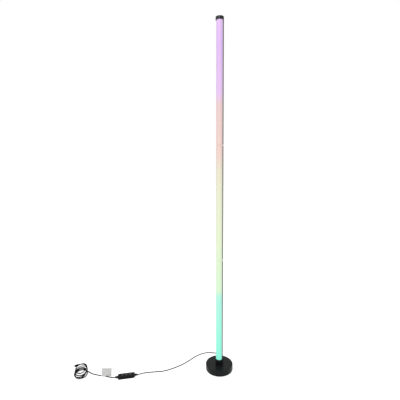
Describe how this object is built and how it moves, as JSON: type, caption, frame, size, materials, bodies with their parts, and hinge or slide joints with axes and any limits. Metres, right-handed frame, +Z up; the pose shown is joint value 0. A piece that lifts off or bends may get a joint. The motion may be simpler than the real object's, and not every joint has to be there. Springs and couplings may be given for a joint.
{
  "type": "corner floor lamp",
  "caption": "Slim upright corner floor lamp: a milky half-round light bar on a round weighted base, with a push-button controller and a coil of cord on its low-voltage lead.",
  "frame": {"origin": "middle of the round base's underside, on the floor", "axes": "+Z up along the pole, -Y towards the lit front, +X to the lamp's left as it faces you, which is the picture's right; the cord lies to -X"},
  "size_m": [0.6887, 0.3124, 1.5],
  "materials": {
    "foam_pad": "closed-cell foam, matt",
    "steel_plate": "pressed sheet steel, black zinc",
    "iron_weight": "rough cast",
    "base_black": "moulded, fine satin",
    "socket_black": "moulded, polished",
    "cap_black": "moulded, polished",
    "steel_screw": "black zinc plated",
    "soft_black": "moulded soft PVC, satin",
    "cord_black": "extruded PVC, satin",
    "inner_plastic": "moulded nylon, natural",
    "channel_black": "extruded, black anodised",
    "diffuser_lower": "milky extruded polycarbonate, lit from inside",
    "diffuser_middle": "milky extruded polycarbonate, lit from inside",
    "diffuser_upper": "milky extruded polycarbonate, lit from inside",
    "board_white": "aluminium-cored board, white solder mask",
    "led_package": "moulded package with a clear window",
    "joint_milky": "moulded milky polycarbonate",
    "case_black": "moulded, fine satin",
    "board_green": "glass-fibre board, green solder mask",
    "chip_black": "moulded epoxy",
    "button_grey": "moulded, matt",
    "label_paper": "coated label paper, blank",
    "plated_brass": "nickel plated"
  },
  "bodies": {
    "lamp": {"base_cover": "base_black", "base_plate": "steel_plate", "base_screws": "steel_screw", "base_weight": "iron_weight", "board_link_lower": "inner_plastic", "board_link_middle": "inner_plastic", "board_terminal": "inner_plastic", "button_switches": "chip_black", "channel_lower": "channel_black", "channel_middle": "channel_black", "channel_upper": "channel_black", "clamp_screws": "steel_screw", "connector_body": "soft_black", "connector_contact": "plated_brass", "connector_lead": "cord_black", "connector_pin": "plated_brass", "controller_board": "board_green", "controller_bottom": "case_black", "controller_chips": "chip_black", "controller_screws": "steel_screw", "controller_top": "case_black", "cord_bushing": "soft_black", "cord_clamp": "inner_plastic", "cord_coil": "cord_black", "diffuser_lower": "diffuser_lower", "diffuser_middle": "diffuser_middle", "diffuser_upper": "diffuser_upper", "foot_pad": "foam_pad", "foot_screws": "steel_screw", "inner_lead": "cord_black", "joint_lower": "joint_milky", "joint_middle": "joint_milky", "joint_screws": "steel_screw", "label_flag": "label_paper", "lamp_cord": "cord_black", "led_board_lower": "board_white", "led_board_middle": "board_white", "led_board_upper": "board_white", "leds_lower": "led_package", "leds_middle": "led_package", "leds_upper": "led_package", "pole_socket": "socket_black", "relief_lamp_side": "soft_black", "relief_supply_side": "soft_black", "supply_cord": "cord_black", "top_cap": "cap_black", "top_cap_screws": "steel_screw"},
    "power_key": {"power_button": "button_grey", "power_plunger": "inner_plastic"},
    "colour_key": {"colour_button": "button_grey", "colour_plunger": "inner_plastic"},
    "speed_key": {"speed_button": "button_grey", "speed_plunger": "inner_plastic"}
  },
  "joints": [
    {"name": "power_press", "type": "slide", "parent": "lamp", "child": "power_key", "axis": [0, 0, -1], "range_m": [0, 0.0006], "stiffness_N_per_m": 500},
    {"name": "colour_press", "type": "slide", "parent": "lamp", "child": "colour_key", "axis": [0, 0, -1], "range_m": [0, 0.0006], "stiffness_N_per_m": 500},
    {"name": "speed_press", "type": "slide", "parent": "lamp", "child": "speed_key", "axis": [0, 0, -1], "range_m": [0, 0.0006], "stiffness_N_per_m": 500}
  ]
}
